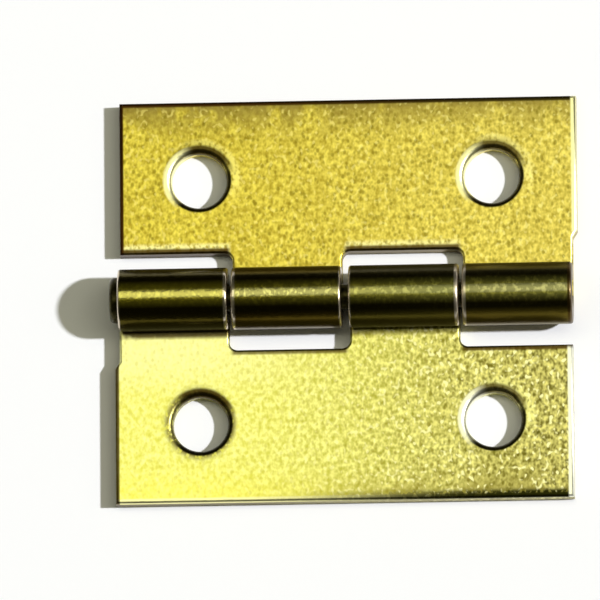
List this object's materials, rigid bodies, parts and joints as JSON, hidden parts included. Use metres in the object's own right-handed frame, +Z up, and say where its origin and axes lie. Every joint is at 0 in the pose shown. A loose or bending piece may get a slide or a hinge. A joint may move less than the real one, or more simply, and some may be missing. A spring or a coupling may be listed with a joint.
{
  "type": "box hinge",
  "caption": "Small pressed box hinge: flat brass-plated leaves with rolled knuckles that interleave on a headed pin, and punched screw holes.",
  "frame": {"origin": "under the middle of the pin, in the plane of the leaves' flat backs", "axes": "+X along the pin away from its head, +Y towards the lid leaf, +Z up from the backs to the barrel side"},
  "size_m": [0.0254, 0.0222, 0.0034],
  "materials": {
    "leaf_plating": "satin brass plating on pressed steel sheet",
    "pin_plating": "dull brass plating on steel wire"
  },
  "bodies": {
    "box_side": {"box_leaf": "leaf_plating", "hinge_pin": "pin_plating"},
    "lid_side": {"lid_leaf": "leaf_plating"}
  },
  "joints": [
    {"name": "lid_swing", "type": "hinge", "parent": "box_side", "child": "lid_side", "pos_m": [0, 0, 0.0017], "axis": [1, 0, 0], "range_deg": [-108, 180]}
  ]
}
